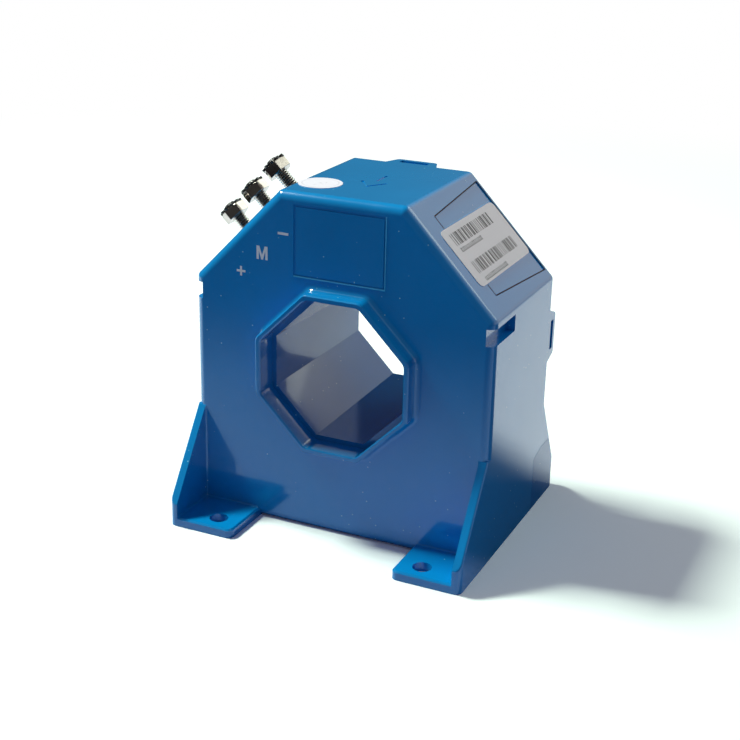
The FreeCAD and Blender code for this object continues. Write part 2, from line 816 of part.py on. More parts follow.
def make_hooks(body):
    """A wedge at each tab snaps into its window."""
    start = case_depth + window_start + fit_gap
    end = case_depth + window_start + window_length - fit_gap
    root_at = cover_inset + 0.5
    tip_at = tab_thickness - hook_depth
    half = window_width / 2 - fit_gap
    profile = [(start, root_at), (end, root_at), (end, tip_at), (start + 0.6, tip_at)]
    drawing = new_sketch(body, "top_hook_outline", "YZ_Plane", -half)
    draw_polygon(drawing, [(depth, case_height - inward) for depth, inward in profile])
    add(body, "Pad", "top_hook", drawing, half * 2)
    for side, name in ((-1, "left"), (1, "right")):
        drawing = new_sketch(body, name + "_hook_outline", "XY_Plane", side_tab_height - half)
        draw_polygon(drawing, [((half_width - inward) * side, depth) for depth, inward in profile])
        add(body, "Pad", name + "_hook", drawing, half * 2)


def make_rear_cover():
    body = new_body("rear_cover")
    make_cover_plate(body)
    make_sleeve(body)
    for side, name in ((-1, "left"), (1, "right")):
        make_rear_foot(body, side, "rear_%s_foot" % name)
    make_hooks(body)
    place(body, Placement())


def make_stud(number, along):
    inner = wall + strap_thickness
    body = turned("terminal_stud_%d" % number, [
        (0.0, -inner - stud_head), (stud_head_radius, -inner - stud_head),
        (stud_head_radius, -inner),
        (stud_radius, -inner), (stud_radius, stud_length - stud_tip),
        (stud_radius - stud_tip, stud_length), (0.0, stud_length)])
    place(body, left_slope_place(along, stud_depth, formula(0.0)))


def make_nut(number, along, turn):
    """A hexagon nut with its corners turned off at its outer end."""
    body = new_body("terminal_nut_%d" % number)
    drawing = new_sketch(body, "nut_%d_outline" % number, "XY_Plane")
    corner = nut_width / Formula(math.sqrt(3), "sqrt(3)")
    flat = nut_width / 2
    draw_polygon(drawing, [(corner, 0.0), (corner / 2, flat), (-corner / 2, flat),
                           (-corner, 0.0), (-corner / 2, -flat), (corner / 2, -flat)])
    draw_circle(drawing, 0.0, 0.0, stud_radius + thread_gap)
    add(body, "Pad", "nut_%d_block" % number, drawing, nut_height)
    drawing = new_sketch(body, "nut_%d_bevel" % number, "XZ_Plane")
    start = flat * 0.96
    wide = corner + 0.5
    rise = (wide - start) * 0.5
    draw_polygon(drawing, [(start, nut_height), (wide, nut_height - rise),
                           (wide, nut_height + 1.0), (start, nut_height + 1.0)])
    before = volume(body)
    groove = body.newObject("PartDesign::Groove", "nut_%d_bevels" % number)
    groove.Profile = drawing
    groove.ReferenceAxis = (drawing, ["V_Axis"])
    groove.Angle = 360.0
    document.recompute()
    check_change(body, "nut_%d_bevels" % number, before, False)
    spot = left_slope_place(along, stud_depth, nut_end - nut_height)
    place(body, spot.multiply(Placement(Vector(), Rotation(Vector(0, 0, 1), turn))))


def make_lock_washer(number, along, turn):
    """A toothed washer carried on the nut's outer end."""
    name = "lock_washer_%d" % number
    body = new_body(name)
    drawing = new_sketch(body, name + "_ring", "XY_Plane")
    draw_circle(drawing, 0.0, 0.0, lock_washer_root)
    draw_circle(drawing, 0.0, 0.0, stud_radius + thread_gap)
    add(body, "Pad", name + "_disc", drawing, lock_washer_thickness)
    drawing = new_sketch(body, name + "_tooth_outline", "XY_Plane")
    half = lock_tooth_width / 2
    draw_polygon(drawing, [(lock_washer_root - 0.4, -half), (lock_washer_radius, -half * 0.7),
                           (lock_washer_radius, half * 0.7), (lock_washer_root - 0.4, half)])
    tooth = add(body, "Pad", name + "_tooth", drawing, lock_washer_thickness)
    pattern = body.newObject("PartDesign::PolarPattern", name + "_teeth")
    pattern.Originals = [tooth]
    pattern.Axis = (drawing, ["N_Axis"])
    pattern.Angle = 360.0
    pattern.Occurrences = 10
    body.Tip = pattern
    document.recompute()
    spot = left_slope_place(along, stud_depth, nut_end)
    place(body, spot.multiply(Placement(Vector(), Rotation(Vector(0, 0, 1), turn))))


def make_flat_washer(number, along):
    inside = stud_radius + thread_gap
    body = turned("flat_washer_%d" % number, [
        (inside, 0.0), (flat_washer_radius, 0.0), (flat_washer_radius, flat_washer_thickness),
        (inside, flat_washer_thickness)])
    place(body, left_slope_place(along, stud_depth, formula(0.0)))


def make_strap(number, along):
    """A brass strip between the stud's head and the wall that runs back to the board."""
    body = new_body("contact_strap_%d" % number)
    drawing = new_sketch(body, "strap_%d_outline" % number, "XY_Plane")
    half = strap_width / 2
    draw_box(drawing, -half, -half, half, board_front - stud_depth)
    draw_circle(drawing, 0.0, 0.0, stud_radius + thread_gap)
    add(body, "Pad", "strap_%d_plate" % number, drawing, strap_thickness)
    front = -half
    round_edges(body, "strap_%d_end" % number, half * 0.6,
                lambda edge: abs(edge.BoundBox.ZLength - strap_thickness.number) < 0.001
                and lies_at_depth(edge, front) and len(ends(edge)) == 2)
    place(body, left_slope_place(along, stud_depth, -wall - strap_thickness))


def make_terminals():
    turns = [8.0, 22.0, 24.0]
    for number, along in enumerate(stud_places(), 1):
        make_stud(number, along)
        make_nut(number, along, turns[number - 1])
        make_lock_washer(number, along, turns[number - 1])
        make_flat_washer(number, along)
        make_strap(number, along)


def make_core():
    """An octagonal ring of soft iron, slit at the top for the sensor."""
    body = new_body("magnetic_core")
    drawing = section(body, "core_outline", core_front)
    draw_polygon(drawing, octagon(core_outside))
    draw_polygon(drawing, octagon(core_inside))
    pad_back(body, "core_ring", drawing, core_depth)
    drawing = section(body, "slit_outline", core_front)
    middle = bore_height + core_inside
    draw_box(drawing, -core_slit / 2, middle - 1.0, core_slit / 2, middle + core_width + 1.0)
    pocket_back(body, "slit", drawing, core_depth)
    place(body, Placement())


def chip_box():
    """Height range of the sensor chip, in the middle of the core's slit."""
    middle = bore_height + core_inside + core_width / 2
    return middle - chip_height / 2, middle + chip_height / 2


def make_gap_spacer():
    """A plastic block that fills the slit and holds the chip in a slot open to the back."""
    body = new_body("gap_spacer")
    drawing = section(body, "spacer_outline", core_front)
    low = bore_height + core_inside
    draw_box(drawing, -core_slit / 2, low, core_slit / 2, low + core_width)
    pad_back(body, "spacer_block", drawing, core_depth)
    drawing = section(body, "chip_slot_outline", core_middle - chip_width / 2)
    chip_low, chip_high = chip_box()
    draw_box(drawing, -chip_thickness / 2, chip_low, chip_thickness / 2, chip_high)
    pocket_back(body, "chip_slot", drawing, core_depth)
    place(body, Placement())


def make_hall_sensor():
    """A flat chip whose four leads run back to the board."""
    body = new_body("hall_sensor")
    low, high = chip_box()
    drawing = section(body, "chip_outline", core_middle - chip_width / 2)
    half = chip_thickness / 2 - component_gap / 2
    draw_box(drawing, -half, low + component_gap / 2, half, high - component_gap / 2)
    pad_back(body, "chip", drawing, chip_width)
    drawing = section(body, "lead_outlines", core_middle + chip_width / 2 - 0.5)
    middle = (low + high) / 2
    half = lead_thickness / 2
    for step in (-1.5, -0.5, 0.5, 1.5):
        height = middle + lead_pitch * step
        draw_box(drawing, -half, height - half, half, height + half)
    pad_back(body, "leads", drawing, board_front - core_middle - chip_width / 2 + 0.5)
    place(body, Placement())


def former_hole():
    """Inside of a coil former, as distances from the bore's centre and depths."""
    return (core_inside - fit_gap, core_front - fit_gap,
            core_outside + fit_gap, core_front + core_depth + fit_gap)


def grown(box, amount):
    low_x, low_y, high_x, high_y = box
    return (low_x - amount, low_y - amount, high_x + amount, high_y + amount)


def on_side(box, side):
    """The box on the bore's left or right, as across and depth ranges from low to high."""
    low_x, low_y, high_x, high_y = box
    if side > 0:
        return (low_x, low_y, high_x, high_y)
    return (-high_x, low_y, -low_x, high_y)


def make_coil_former(side, name):
    """A plastic tube with a flange at each end, round one leg of the core."""
    body = new_body("coil_former_" + name)
    low = bore_height - former_length / 2
    tube = grown(former_hole(), former_wall)
    flange = grown(tube, winding_depth)
    drawing = new_sketch(body, name + "_tube_outline", "XY_Plane", low)
    draw_box(drawing, *on_side(tube, side))
    add(body, "Pad", name + "_tube", drawing, former_length)
    for end, height in (("low", low), ("high", bore_height + former_length / 2 - former_flange)):
        drawing = new_sketch(body, "%s_%s_flange_outline" % (name, end), "XY_Plane", height)
        draw_box(drawing, *on_side(flange, side))
        add(body, "Pad", "%s_%s_flange" % (name, end), drawing, former_flange)
    drawing = new_sketch(body, name + "_hole_outline", "XY_Plane", low)
    draw_box(drawing, *on_side(former_hole(), side))
    add(body, "Pocket", name + "_hole", drawing, former_length, True)
    drawing = section(body, name + "_pin_outlines", core_front + core_depth)
    pin = former_flange / 2
    middle = (core_inside + core_width / 2) * side
    height = low + former_length - former_flange / 2
    for shift in (-core_width / 2, core_width / 2):
        draw_box(drawing, middle + shift - pin, height - pin, middle + shift + pin, height + pin)
    pad_back(body, name + "_pins", drawing, board_front - core_front - core_depth)
    place(body, Placement())


def make_secondary_coil(side, name):
    """The winding between the former's flanges, rounded at its corners."""
    body = new_body("secondary_coil_" + name)
    low = bore_height - former_length / 2 + former_flange
    length = former_length - former_flange * 2
    inside = grown(former_hole(), former_wall)
    outside = grown(inside, winding_depth - component_gap)
    drawing = new_sketch(body, name + "_winding_outline", "XY_Plane", low)
    draw_box(drawing, *on_side(outside, side))
    add(body, "Pad", name + "_winding", drawing, length)
    round_edges(body, name + "_winding_corners", winding_depth * 0.8,
                lambda edge: near(edge.BoundBox.ZLength, length))
    drawing = new_sketch(body, name + "_winding_hole_outline", "XY_Plane", low)
    draw_box(drawing, *on_side(inside, side))
    add(body, "Pocket", name + "_winding_hole", drawing, length, True)
    place(body, Placement())


def make_board():
    """An arch-shaped board behind the coils, open below the bore."""
    body = new_body("circuit_board")
    edge = wall + board_edge_gap
    corners = case_outline(edge)
    side = half_width - edge
    opening = octagon(sleeve_outside + board_bore_gap)
    inner = sleeve_outside + board_bore_gap
    right_side = [opening[7], opening[0], opening[1]]
    left_side = [opening[2], opening[3], opening[4]]
    drawing = section(body, "board_outline", board_front)
    draw_polygon(drawing, [(-side, board_low), (-inner, board_low)] + left_side[::-1]
                 + right_side[::-1] + [(inner, board_low), (side, board_low)] + corners[2:])
    pad_back(body, "board", drawing, board_thickness)
    drawing = section(body, "board_hole_outlines", board_front)
    for across, up in post_places():
        draw_circle(drawing, across, up, screw_radius + thread_gap)
    pocket_back(body, "board_holes", drawing, board_thickness)
    place(body, Placement())


def make_screws():
    """Four pan-head screws, seen as one group."""
    body = new_body("board_screws")
    drawing = section(body, "screw_head_outlines", board_back)
    for across, up in post_places():
        draw_circle(drawing, across, up, screw_head_radius)
    body.AllowCompound = True
    pad_back(body, "screw_heads", drawing, screw_head)
    drawing = section(body, "screw_shank_outlines", board_back - screw_length)
    for across, up in post_places():
        draw_circle(drawing, across, up, screw_radius)
    pad_back(body, "screw_shanks", drawing, screw_length)
    bevel_edges(body, "screw_head_edges", screw_head * 0.4,
                lambda edge: near(edge.BoundBox.YMin, board_back + screw_head)
                and near(edge.BoundBox.YLength, 0.0))
    place(body, Placement())


def make_block(name, middle, height, wide, high, deep, edge):
    """A moulded electronic piece that lies on the board's back."""
    body = new_body(name)
    drawing = section(body, name + "_outline", board_back)
    draw_box(drawing, middle - wide / 2, height - high / 2, middle + wide / 2, height + high / 2)
    pad_back(body, name + "_block", drawing, deep)
    back = board_back + deep
    round_edges(body, name + "_edges", edge, lambda item: lies_at_depth(item, back))
    place(body, Placement())


def make_capacitor(name, middle, height, radius, length):
    """A can that stands along the board, touching it."""
    body = turned(name, [
        (0.0, 0.0), (radius, 0.0), (radius, length - 0.4), (radius - 0.4, length),
        (0.0, length)])
    place(body, Placement(Vector(middle.number, (board_back + radius).number,
                                 (height - length / 2).number), Rotation()))


def make_components():
    make_block("amplifier_chip", formula(0.0), amplifier_place,
               amplifier_width, amplifier_height, amplifier_depth, formula(0.3))
    for side, name in ((-1, "left"), (1, "right")):
        make_block("power_transistor_" + name, transistor_x * side, transistor_z,
                   transistor_width, transistor_height, transistor_depth, formula(0.4))
        make_block("resistor_" + name, transistor_x * side, resistor_z,
                   resistor_width, resistor_height, resistor_depth, formula(0.2))
        make_capacitor("capacitor_" + name, capacitor_x * side, capacitor_z,
                       capacitor_radius, capacitor_length)


def make_label():
    """A paper label that lies on the panel's front edge and runs back level with its floor."""
    body = new_body("barcode_label")
    drawing = new_sketch(body, "label_outline", "XY_Plane")
    draw_box(drawing, -label_width / 2, 0.0, label_width / 2, label_length)
    add(body, "Pad", "label_sheet", drawing, paper)
    round_edges(body, "label_corners", label_round,
                lambda edge: near(edge.BoundBox.ZLength, paper) and len(ends(edge)) == 2
                and near(edge.BoundBox.XLength, 0.0) and near(edge.BoundBox.YLength, 0.0))
    fall = (panel_back_depth - panel_front_depth) / (panel_back - panel_front)
    floor = (label_front - panel_front) * fall
    lean = Placement(Vector(), Rotation(Vector(1, 0, 0), -math.degrees(math.atan(fall.number))))
    place(body, right_slope_place(slope_length / 2 + label_shift, label_front, -floor).multiply(lean))


def make_sticker():
    body = turned("round_sticker", [
        (0.0, 0.0), (sticker_radius, 0.0), (sticker_radius, paper), (0.0, paper)])
    place(body, Placement(Vector(sticker_x.number, sticker_depth.number, case_height.number),
                          Rotation()))


def check_and_write():
    """Refuse a failed object or a bad shape before anything is written."""
    document.recompute()
    for item in document.Objects:
        if "Invalid" in item.State or "Error" in item.State:
            raise RuntimeError("%s failed: %s" % (item.Label, item.State))
    for name, body in pieces.items():
        if body.Shape.isNull() or not body.Shape.isValid() or not body.Shape.Solids:
            raise RuntimeError("%s has no valid solid" % name)
    os.makedirs("parts", exist_ok=True)
    for name, body in pieces.items():
        body.Shape.exportStep("parts/%s.step" % name)
        box = body.Shape.BoundBox
        print("%-24s %8.0f mm3  %d solid(s)  z %.1f to %.1f" % (
            name, body.Shape.Volume, len(body.Shape.Solids), box.ZMin, box.ZMax))


make_housing()
make_rear_cover()
make_terminals()
make_core()
make_gap_spacer()
make_hall_sensor()
for side, name in ((-1, "left"), (1, "right")):
    make_coil_former(side, name)
    make_secondary_coil(side, name)
make_board()
make_screws()
make_components()
make_label()
make_sticker()
check_and_write()
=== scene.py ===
import math

import bmesh
import bpy
from mathutils import Matrix, Vector


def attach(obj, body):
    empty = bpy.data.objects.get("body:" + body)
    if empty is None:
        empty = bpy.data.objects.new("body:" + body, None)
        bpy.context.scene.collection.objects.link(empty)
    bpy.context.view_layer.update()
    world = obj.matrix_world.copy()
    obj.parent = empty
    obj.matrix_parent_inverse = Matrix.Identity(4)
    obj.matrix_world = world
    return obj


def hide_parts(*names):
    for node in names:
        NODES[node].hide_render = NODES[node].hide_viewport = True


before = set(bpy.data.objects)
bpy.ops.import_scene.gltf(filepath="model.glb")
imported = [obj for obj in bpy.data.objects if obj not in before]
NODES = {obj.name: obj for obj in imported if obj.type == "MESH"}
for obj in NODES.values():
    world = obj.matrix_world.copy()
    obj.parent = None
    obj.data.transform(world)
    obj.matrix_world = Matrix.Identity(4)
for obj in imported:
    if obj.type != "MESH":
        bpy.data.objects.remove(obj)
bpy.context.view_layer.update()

MM = 0.001

# Places on the case, in millimetres, in the frame of part.py: y = 0 is the case's front face
FRONT_Y = -22.4
CASE_HEIGHT = 100.5
HALF_TOP = 19.0
SLOPE = Vector((27.0, 28.0))
SLOPE_MIDDLE = 19.45
STUD_DEPTH = 24.0
STUD_DOWN = (9.1, 19.45, 29.8)
PANEL_FRONT, PANEL_BACK = 10.8, 47.1
PANEL_FRONT_HALF, PANEL_BACK_HALF = 13.5, 16.25
PANEL_FRONT_DEPTH, PANEL_BACK_DEPTH = 0.12, 0.3
LABEL_FRONT, LABEL_MIDDLE = 6.7, 19.75
FRAME_LOW, FRAME_HIGH, FRAME_HALF = 76.7, 97.3, 14.0
STICKER_CENTRE = (-12.6, 13.4, CASE_HEIGHT)

# The stud's thread in millimetres, from the slope's surface outwards
THREAD_START, THREAD_END = -3.0, 12.3
THREAD_PITCH = 0.7
CREST_RADIUS, GROOVE_RADIUS, TIP_RADIUS = 1.985, 1.45, 1.5
THREAD_STEPS = 32
THREAD_PROFILE = ((0.0, CREST_RADIUS), (0.3, CREST_RADIUS), (0.5, GROOVE_RADIUS),
                  (0.8, GROOVE_RADIUS))

# Light: (colour, strength) of the world, and what gloss and the camera see of the floor
SKY = ((0.84, 0.74, 1.0), 0.2)
ROOM = ((1.0, 0.98, 0.95), 1.0)
BACKDROP = ((1.0, 1.0, 1.0), 1.0)
FLOOR_UNSEEN = (0.33, 0.27, 0.39)
FLOOR_TO_CAMERA = (1.06, 1.19, 1.18)
# What gloss sees of the floor is painted reflection: dark beside the object as painted shadow, pale
# behind as painted lit floor.
GLOSS_FAR_FRONT = (0.01, 0.012, 0.016)
GLOSS_FRONT = (0.5, 0.64, 0.9)
GLOSS_BESIDE = (0.06, 0.065, 0.08)
GLOSS_BEHIND = (0.85, 0.92, 1.0)


def place(point):
    """A point in metres in the row frame from millimetres behind the front face."""
    return Vector((point[0], point[1] + FRONT_Y, point[2])) * MM


# Camera, light and floor

def make_camera():
    """The camera fitted to the photograph, with its place and turn in the row frame."""
    data = bpy.data.cameras.new("camera")
    data.sensor_width = 36.0
    data.lens = 68.4
    data.clip_start = 0.01
    camera = bpy.data.objects.new("camera", data)
    bpy.context.scene.collection.objects.link(camera)
    right = Vector((0.9063, 0.4222, 0.0212)).normalized()
    forward = Vector((-0.3875, 0.8498, -0.3575)).normalized()
    up = right.cross(forward).normalized()
    right = forward.cross(up)
    camera.matrix_world = Matrix((
        (right.x, up.x, -forward.x, 0.1610),
        (right.y, up.y, -forward.y, -0.3535),
        (right.z, up.z, -forward.z, 0.1925),
        (0.0, 0.0, 0.0, 1.0)))
    bpy.context.scene.camera = camera


def make_area_light(name, position, size, power, colour):
    """A square lamp that faces the object."""
    data = bpy.data.lights.new(name, "AREA")
    data.shape = "SQUARE"
    data.size = size
    data.energy = power
    data.color = colour
    light = bpy.data.objects.new(name, data)
    bpy.context.scene.collection.objects.link(light)
    light.location = position
    toward = Vector((0.0, 0.0, 0.05)) - Vector(position)
    light.rotation_euler = toward.to_track_quat("-Z", "Y").to_euler()


class Nodes:
    """Short calls that build nodes in one tree and return their output sockets."""

    def __init__(self, tree):
        self.tree = tree

    def node(self, kind, **settings):
        item = self.tree.nodes.new(kind)
        for name, value in settings.items():
            setattr(item, name, value)
        return item

    def feed(self, socket, value):
        """Link a socket, or set a plain value."""
        if isinstance(value, bpy.types.NodeSocket):
            self.tree.links.new(value, socket)
        elif socket.type == "RGBA":
            socket.default_value = (*value, 1.0)
        else:
            socket.default_value = value

    def between(self, value, low, high, start=0.0, end=1.0, smooth=False):
        """Map a range of the value to start and end, and hold it there outside."""
        item = self.node("ShaderNodeMapRange",
                         interpolation_type="SMOOTHSTEP" if smooth else "LINEAR")
        for name, number in (("Value", value), ("From Min", low), ("From Max", high),
                             ("To Min", start), ("To Max", end)):
            self.feed(item.inputs[name], number)
        return item.outputs["Result"]

    def blend(self, factor, first, second):
        item = self.node("ShaderNodeMix", data_type="RGBA")
        self.feed(item.inputs["Factor"], factor)
        self.feed(item.inputs[6], first)
        self.feed(item.inputs[7], second)
        return item.outputs[2]

    def maths(self, operation, first, second=0.0):
        item = self.node("ShaderNodeMath", operation=operation)
        self.feed(item.inputs[0], first)
        self.feed(item.inputs[1], second)
        return item.outputs[0]

    def vector_maths(self, operation, first, second, output):
        item = self.node("ShaderNodeVectorMath", operation=operation)
        self.feed(item.inputs[0], first)
        item.inputs[1].default_value = second
        return item.outputs[output]

    def coordinate(self, output):
        return self.node("ShaderNodeTexCoord").outputs[output]

    def along(self, output, direction):
        """How far a coordinate reaches in a direction."""
        return self.vector_maths("DOT_PRODUCT", self.coordinate(output), direction, "Value")

    def mix_shaders(self, factor, first, second):
        item = self.node("ShaderNodeMixShader")
        for socket, value in zip(item.inputs, (factor, first, second)):
            self.tree.links.new(value, socket)
        return item.outputs[0]

    def seen_directly(self):
        """Two values that are 1 for rays from the camera and for rays off a gloss."""
        path = self.node("ShaderNodeLightPath")
        direct = self.maths("MAXIMUM", path.outputs["Is Camera Ray"],
                            path.outputs["Is Transmission Ray"])
        return direct, path.outputs["Is Glossy Ray"]


def make_world():
    """White to the camera; gloss sees a room that is bright behind on the right, else dim."""
    world = bpy.data.worlds.new("studio")
    bpy.context.scene.world = world
    world.use_nodes = True
    world.node_tree.nodes.clear()
    nodes = Nodes(world.node_tree)
    shades = []
    for colour, strength in (SKY, ROOM, BACKDROP):
        shade = nodes.node("ShaderNodeBackground")
        nodes.feed(shade.inputs["Color"], colour)
        nodes.feed(shade.inputs["Strength"], strength)
        shades.append(shade)
    sky, room, white = shades
    brighter = nodes.between(nodes.along("Generated", (0.8, 0.6, 0.0)), 0.2, 0.8, 0.05, 0.75, True)
    nodes.feed(room.inputs["Strength"], brighter)
    camera_ray, glossy_ray = nodes.seen_directly()
    unseen = nodes.mix_shaders(glossy_ray, sky.outputs[0], room.outputs[0])
    surface = nodes.mix_shaders(camera_ray, unseen, white.outputs[0])
    nodes.feed(nodes.node("ShaderNodeOutputWorld").inputs["Surface"], surface)


def floor_material():
    """White to the camera but for the shadow; gloss sees painted reflections on it: near black far
    in front, pale nearer in front, dark beside the object on its right as a painted shadow, pale
    behind as a painted lit floor.
    """
    material = bpy.data.materials.new("floor")
    material.use_nodes = True
    nodes = Nodes(material.node_tree)
    surface = nodes.tree.nodes["Principled BSDF"]
    nodes.feed(surface.inputs["Roughness"], 0.9)
    nodes.feed(surface.inputs["Specular IOR Level"], 0.0)
    camera_ray, glossy_ray = nodes.seen_directly()
    depth = nodes.along("Object", (0.0, 1.0, 0.0))
    aslant = nodes.along("Object", (-0.61, 0.79, 0.0))
    # Painted reflections: the floor's colour to gloss rays changes with place, with painted shadow
    # beside the object and a painted lit floor behind.
    gloss = nodes.blend(nodes.between(depth, -0.21, -0.04, smooth=True), GLOSS_FAR_FRONT,
                        GLOSS_FRONT)
    gloss = nodes.blend(nodes.between(depth, -0.03, -0.012, smooth=True), gloss, GLOSS_BESIDE)
    gloss = nodes.blend(nodes.between(aslant, -0.006, 0.016, smooth=True), gloss, GLOSS_BEHIND)
    unseen = nodes.blend(glossy_ray, FLOOR_UNSEEN, gloss)
    nodes.feed(surface.inputs["Base Color"], nodes.blend(camera_ray, unseen, FLOOR_TO_CAMERA))
    away = nodes.vector_maths("LENGTH", nodes.coordinate("Object"), (0.0, 0.0, 0.0), "Value")
    far = nodes.maths("MULTIPLY", nodes.between(away, 0.3, 0.65, smooth=True), camera_ray)
    white = nodes.node("ShaderNodeEmission")
    joined = nodes.mix_shaders(far, surface.outputs[0], white.outputs[0])
    nodes.feed(nodes.tree.nodes["Material Output"].inputs["Surface"], joined)
    return material


def make_floor():
    data = bpy.data.meshes.new("floor")
    half = 2.5
    data.from_pydata([(-half, -half, 0), (half, -half, 0), (half, half, 0), (-half, half, 0)],
                     [], [(0, 1, 2, 3)])
    data.materials.append(floor_material())
    floor = bpy.data.objects.new("floor", data)
    bpy.context.scene.collection.objects.link(floor)


# Materials

class Shader(Nodes):
    """A material built round one Principled shader."""

    def __init__(self, name, colour, roughness, **constants):
        self.material = bpy.data.materials.new(name)
        self.material.use_nodes = True
        super().__init__(self.material.node_tree)
        self.surface = self.tree.nodes["Principled BSDF"]
        self.set(Base_Color=colour, Roughness=roughness, **constants)
        self.coordinates = self.coordinate("Object")

    def set(self, **sockets):
        for name, value in sockets.items():
            self.feed(self.surface.inputs[name.replace("_", " ")], value)

    def stretched(self, factors):
        """Object coordinates scaled by axis, for streaks."""
        return self.vector_maths("MULTIPLY", self.coordinates, factors, 0)

    def axis(self, name):
        item = self.node("ShaderNodeSeparateXYZ")
        self.feed(item.inputs[0], self.coordinates)
        return item.outputs[name]

    def noise(self, scale, detail=3.0, roughness=0.5, where=None):
        item = self.node("ShaderNodeTexNoise")
        self.feed(item.inputs["Vector"], where or self.coordinates)
        self.feed(item.inputs["Scale"], scale)
        self.feed(item.inputs["Detail"], detail)
        self.feed(item.inputs["Roughness"], roughness)
        return item.outputs["Fac"]

    def cells(self, scale):
        """Distance to the nearest of many scattered points."""
        item = self.node("ShaderNodeTexVoronoi")
        self.feed(item.inputs["Vector"], self.coordinates)
        self.feed(item.inputs["Scale"], scale)
        return item.outputs["Distance"]

    def bump(self, height, strength, distance, under=None):
        item = self.node("ShaderNodeBump")
        self.feed(item.inputs["Strength"], strength)
        self.feed(item.inputs["Distance"], distance)
        self.feed(item.inputs["Height"], height)
        if under is not None:
            self.feed(item.inputs["Normal"], under)
        return item.outputs["Normal"]


def scaled(colour, amount):
    return tuple(min(channel * amount, 1.0) for channel in colour)


def case_plastic(name, colour, roughness, coat):
    """Glossy moulded plastic: a smooth skin, slow waves from moulding, rub marks and dust."""
    shader = Shader(name, colour, roughness, Specular_IOR_Level=0.5, Coat_Weight=coat,
                    Coat_Roughness=0.05)
    cloud = shader.noise(28.0, 4.0)
    tone = shader.blend(shader.between(cloud, 0.35, 0.65), scaled(colour, 0.95),
                        scaled(colour, 1.05))
    dust = shader.between(shader.cells(330.0), 0.035, 0.085, 0.9, 0.0)
    dust = shader.maths("MULTIPLY", dust, shader.between(shader.noise(45.0), 0.47, 0.53))
    shader.set(Base_Color=shader.blend(dust, tone, (0.3, 0.85, 0.95)))
    rub = shader.noise(90.0, 5.0, 0.65, shader.stretched((1.0, 0.35, 0.35)))
    shader.set(Roughness=shader.between(rub, 0.3, 0.75, roughness * 0.8, roughness * 1.3))
    peel = shader.bump(shader.noise(1400.0, 2.0), 0.05, 0.00006)
    shader.set(Normal=shader.bump(shader.noise(30.0, 2.0), 0.15, 0.0004, peel))
    return shader.material


def bright_metal(name, colour, roughness, grain=(1.0, 1.0, 1.0), soft=True):
    """Metal with slight tarnish and fine machining lines; soft rounds its edges' shading."""
    shader = Shader(name, colour, roughness, Metallic=1.0)
    stain = shader.noise(260.0, 4.0, 0.6)
    shader.set(Base_Color=shader.blend(shader.between(stain, 0.35, 0.75), colour,
                                       scaled(colour, 0.72)))
    lines = shader.noise(1500.0, 3.0, 0.7, shader.stretched(grain))
    shader.set(Roughness=shader.between(lines, 0.3, 0.8, roughness * 0.7, roughness * 1.7))
    worn = None
    if soft:
        edge = shader.node("ShaderNodeBevel", samples=4)
        shader.feed(edge.inputs["Radius"], 0.0003)
        worn = edge.outputs["Normal"]
    shader.set(Normal=shader.bump(lines, 0.12, 0.00004, worn))
    return shader.material


def layered(name, colour, dark, roughness, axis, pitch, metallic, strength):
    """Thin layers or wires side by side along one axis."""
    shader = Shader(name, colour, roughness, Metallic=metallic)
    turns = shader.maths("MULTIPLY", shader.axis(axis), 2.0 * math.pi / pitch)
    ridge = shader.maths("SINE", turns)
    groove = shader.between(ridge, -1.0, -0.4, 1.0, 0.0)
    shift = shader.between(shader.noise(300.0, 3.0), 0.3, 0.7, 0.0, 0.35)
    shader.set(Base_Color=shader.blend(shader.maths("MAXIMUM", groove, shift), colour, dark))
    shader.set(Roughness=shader.between(shader.noise(900.0), 0.3, 0.7, roughness * 0.8,
                                        roughness * 1.3))
    shader.set(Normal=shader.bump(ridge, strength, pitch * 0.2))
    return shader.material


def grained(name, colour, roughness, grain=1800.0, depth=0.00005, variation=0.08, coat=0.0):
    """Paper, moulded epoxy, nylon and the like: an even colour with a fine grain."""
    shader = Shader(name, colour, roughness, Coat_Weight=coat, Coat_Roughness=0.2)
    cloud = shader.noise(120.0, 4.0)
    shader.set(Base_Color=shader.blend(shader.between(cloud, 0.3, 0.7),
                                       scaled(colour, 1.0 - variation),
                                       scaled(colour, 1.0 + variation)))
    fine = shader.noise(grain, 3.0, 0.6)
    shader.set(Roughness=shader.between(fine, 0.3, 0.7, roughness * 0.85, roughness * 1.15))
    shader.set(Normal=shader.bump(fine, 0.25, depth))
    return shader.material


def board_laminate():
    """Green solder mask over copper tracks, with the glass weave just showing."""
    shader = Shader("board_laminate", (0.02, 0.17, 0.06), 0.35)
    tracks = shader.node("ShaderNodeTexBrick", offset=0.5, squash=1.0)
    flat = shader.node("ShaderNodeCombineXYZ")
    shader.feed(flat.inputs[0], shader.axis("X"))
    shader.feed(flat.inputs[1], shader.axis("Z"))
    shader.feed(tracks.inputs["Vector"], flat.outputs[0])
    tracks.inputs["Scale"].default_value = 210.0
    tracks.inputs["Mortar Size"].default_value = 0.06
    tracks.inputs["Mortar Smooth"].default_value = 0.3
    copper = shader.maths("MULTIPLY", tracks.outputs["Fac"],
                          shader.between(shader.noise(70.0, 1.0), 0.42, 0.5))
    weave = shader.noise(2200.0, 2.0, 0.5, shader.stretched((1.0, 1.0, 0.4)))
    mask = shader.blend(weave, (0.015, 0.13, 0.045), (0.025, 0.19, 0.07))
    shader.set(Base_Color=shader.blend(copper, mask, (0.05, 0.3, 0.1)))
    shader.set(Normal=shader.bump(copper, 0.5, 0.00005,
                                  shader.bump(weave, 0.1, 0.00003)))
    return shader.material


